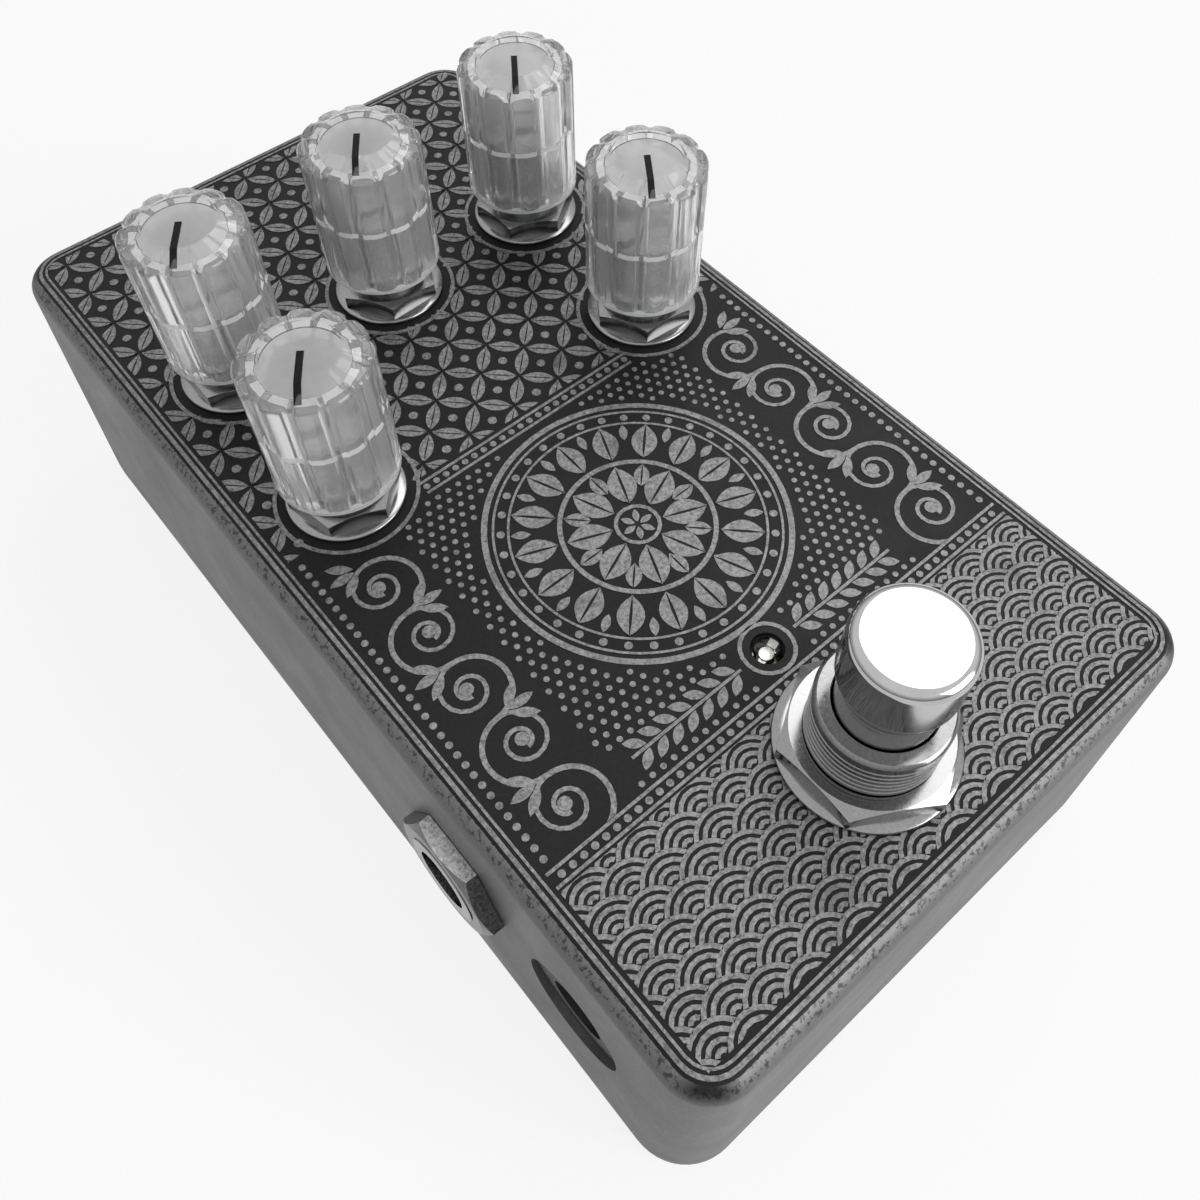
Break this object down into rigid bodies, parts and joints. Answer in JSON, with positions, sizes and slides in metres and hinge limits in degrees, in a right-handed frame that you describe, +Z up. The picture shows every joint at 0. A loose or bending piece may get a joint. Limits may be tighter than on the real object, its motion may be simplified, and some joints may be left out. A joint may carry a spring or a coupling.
{
  "type": "guitar effects pedal",
  "caption": "Die-cast guitar effects pedal with fluted clear knobs, an indicator lamp, a latching footswitch, side jacks for input and output and a recessed power socket.",
  "frame": {"origin": "centre of the underside of the closed case", "axes": "+Z up through the panel, +Y from the footswitch end to the knob end, +X to the input jack's side"},
  "size_m": [0.0688, 0.121, 0.0564],
  "materials": {
    "case_metal": "dark etched and aged die-cast surface, worn bright on edges",
    "nickel_hardware": "bright nickel plate",
    "clear_plastic": "clear moulded acrylic",
    "steel": "zinc-plated sheet",
    "shaft_metal": "turned",
    "tinned_metal": "tinned",
    "board_laminate": "green glass-epoxy board",
    "black_plastic": "moulded",
    "red_plastic": "dipped",
    "resistor_ceramic": "lacquered",
    "blue_plastic": "moulded",
    "chrome": "polished plate",
    "spring_steel": "bright wire",
    "brown_laminate": "phenolic sheet",
    "brass": "rolled",
    "clear_lens": "clear epoxy",
    "wire_insulation": "insulated wire"
  },
  "bodies": {
    "case": {"enclosure": "case_metal", "bottom_cover": "case_metal", "cover_screws": "nickel_hardware", "pot_nuts": "nickel_hardware", "pot_washers": "nickel_hardware", "footswitch_nut": "nickel_hardware", "footswitch_washer": "nickel_hardware", "footswitch_back_nut": "nickel_hardware", "footswitch_lock_washer": "nickel_hardware", "jack_nuts": "nickel_hardware", "jack_washers": "nickel_hardware", "output_jack_frame": "nickel_hardware", "input_jack_frame": "nickel_hardware", "footswitch_bushing": "nickel_hardware", "pot_back_left": "steel", "pot_back_middle": "steel", "pot_back_right": "steel", "pot_front_right": "steel", "pot_front_left": "steel", "pot_terminals": "tinned_metal", "footswitch_lugs": "tinned_metal", "power_socket_pin": "tinned_metal", "power_socket_lugs": "tinned_metal", "lamp_leads": "tinned_metal", "main_board": "board_laminate", "switch_board": "board_laminate", "chips": "black_plastic", "power_socket": "black_plastic", "electrolytic_capacitors": "black_plastic", "film_capacitors": "red_plastic", "resistors": "resistor_ceramic", "footswitch_housing": "blue_plastic", "footswitch_spring": "spring_steel", "output_jack_wafers": "brown_laminate", "input_jack_wafers": "brown_laminate", "output_jack_tip_spring": "brass", "input_jack_tip_spring": "brass", "lamp_lens": "clear_lens", "jack_wires": "wire_insulation", "link_wires": "wire_insulation"},
    "knob_back_left": {"knob_back_left": "clear_plastic", "pot_shaft_back_left": "shaft_metal"},
    "knob_back_middle": {"knob_back_middle": "clear_plastic", "pot_shaft_back_middle": "shaft_metal"},
    "knob_back_right": {"knob_back_right": "clear_plastic", "pot_shaft_back_right": "shaft_metal"},
    "knob_front_right": {"knob_front_right": "clear_plastic", "pot_shaft_front_right": "shaft_metal"},
    "knob_front_left": {"knob_front_left": "clear_plastic", "pot_shaft_front_left": "shaft_metal"},
    "plunger": {"footswitch_plunger": "chrome"}
  },
  "joints": [
    {"name": "turn_back_left", "type": "hinge", "parent": "case", "child": "knob_back_left", "pos_m": [-0.0198, 0.0275, 0.0403], "axis": [0, 0, -1], "range_deg": [0, 300]},
    {"name": "turn_back_middle", "type": "hinge", "parent": "case", "child": "knob_back_middle", "pos_m": [0, 0.0275, 0.0403], "axis": [0, 0, -1], "range_deg": [0, 300]},
    {"name": "turn_back_right", "type": "hinge", "parent": "case", "child": "knob_back_right", "pos_m": [0.0198, 0.0275, 0.0403], "axis": [0, 0, -1], "range_deg": [0, 300]},
    {"name": "turn_front_right", "type": "hinge", "parent": "case", "child": "knob_front_right", "pos_m": [0.0198, 0.0063, 0.0403], "axis": [0, 0, -1], "range_deg": [0, 300]},
    {"name": "turn_front_left", "type": "hinge", "parent": "case", "child": "knob_front_left", "pos_m": [-0.0198, 0.0063, 0.0403], "axis": [0, 0, -1], "range_deg": [0, 300]},
    {"name": "press_footswitch", "type": "slide", "parent": "case", "child": "plunger", "axis": [0, 0, -1], "range_m": [0, 0.0025], "stiffness_N_per_m": 4000, "deforming": ["footswitch_spring"]}
  ]
}
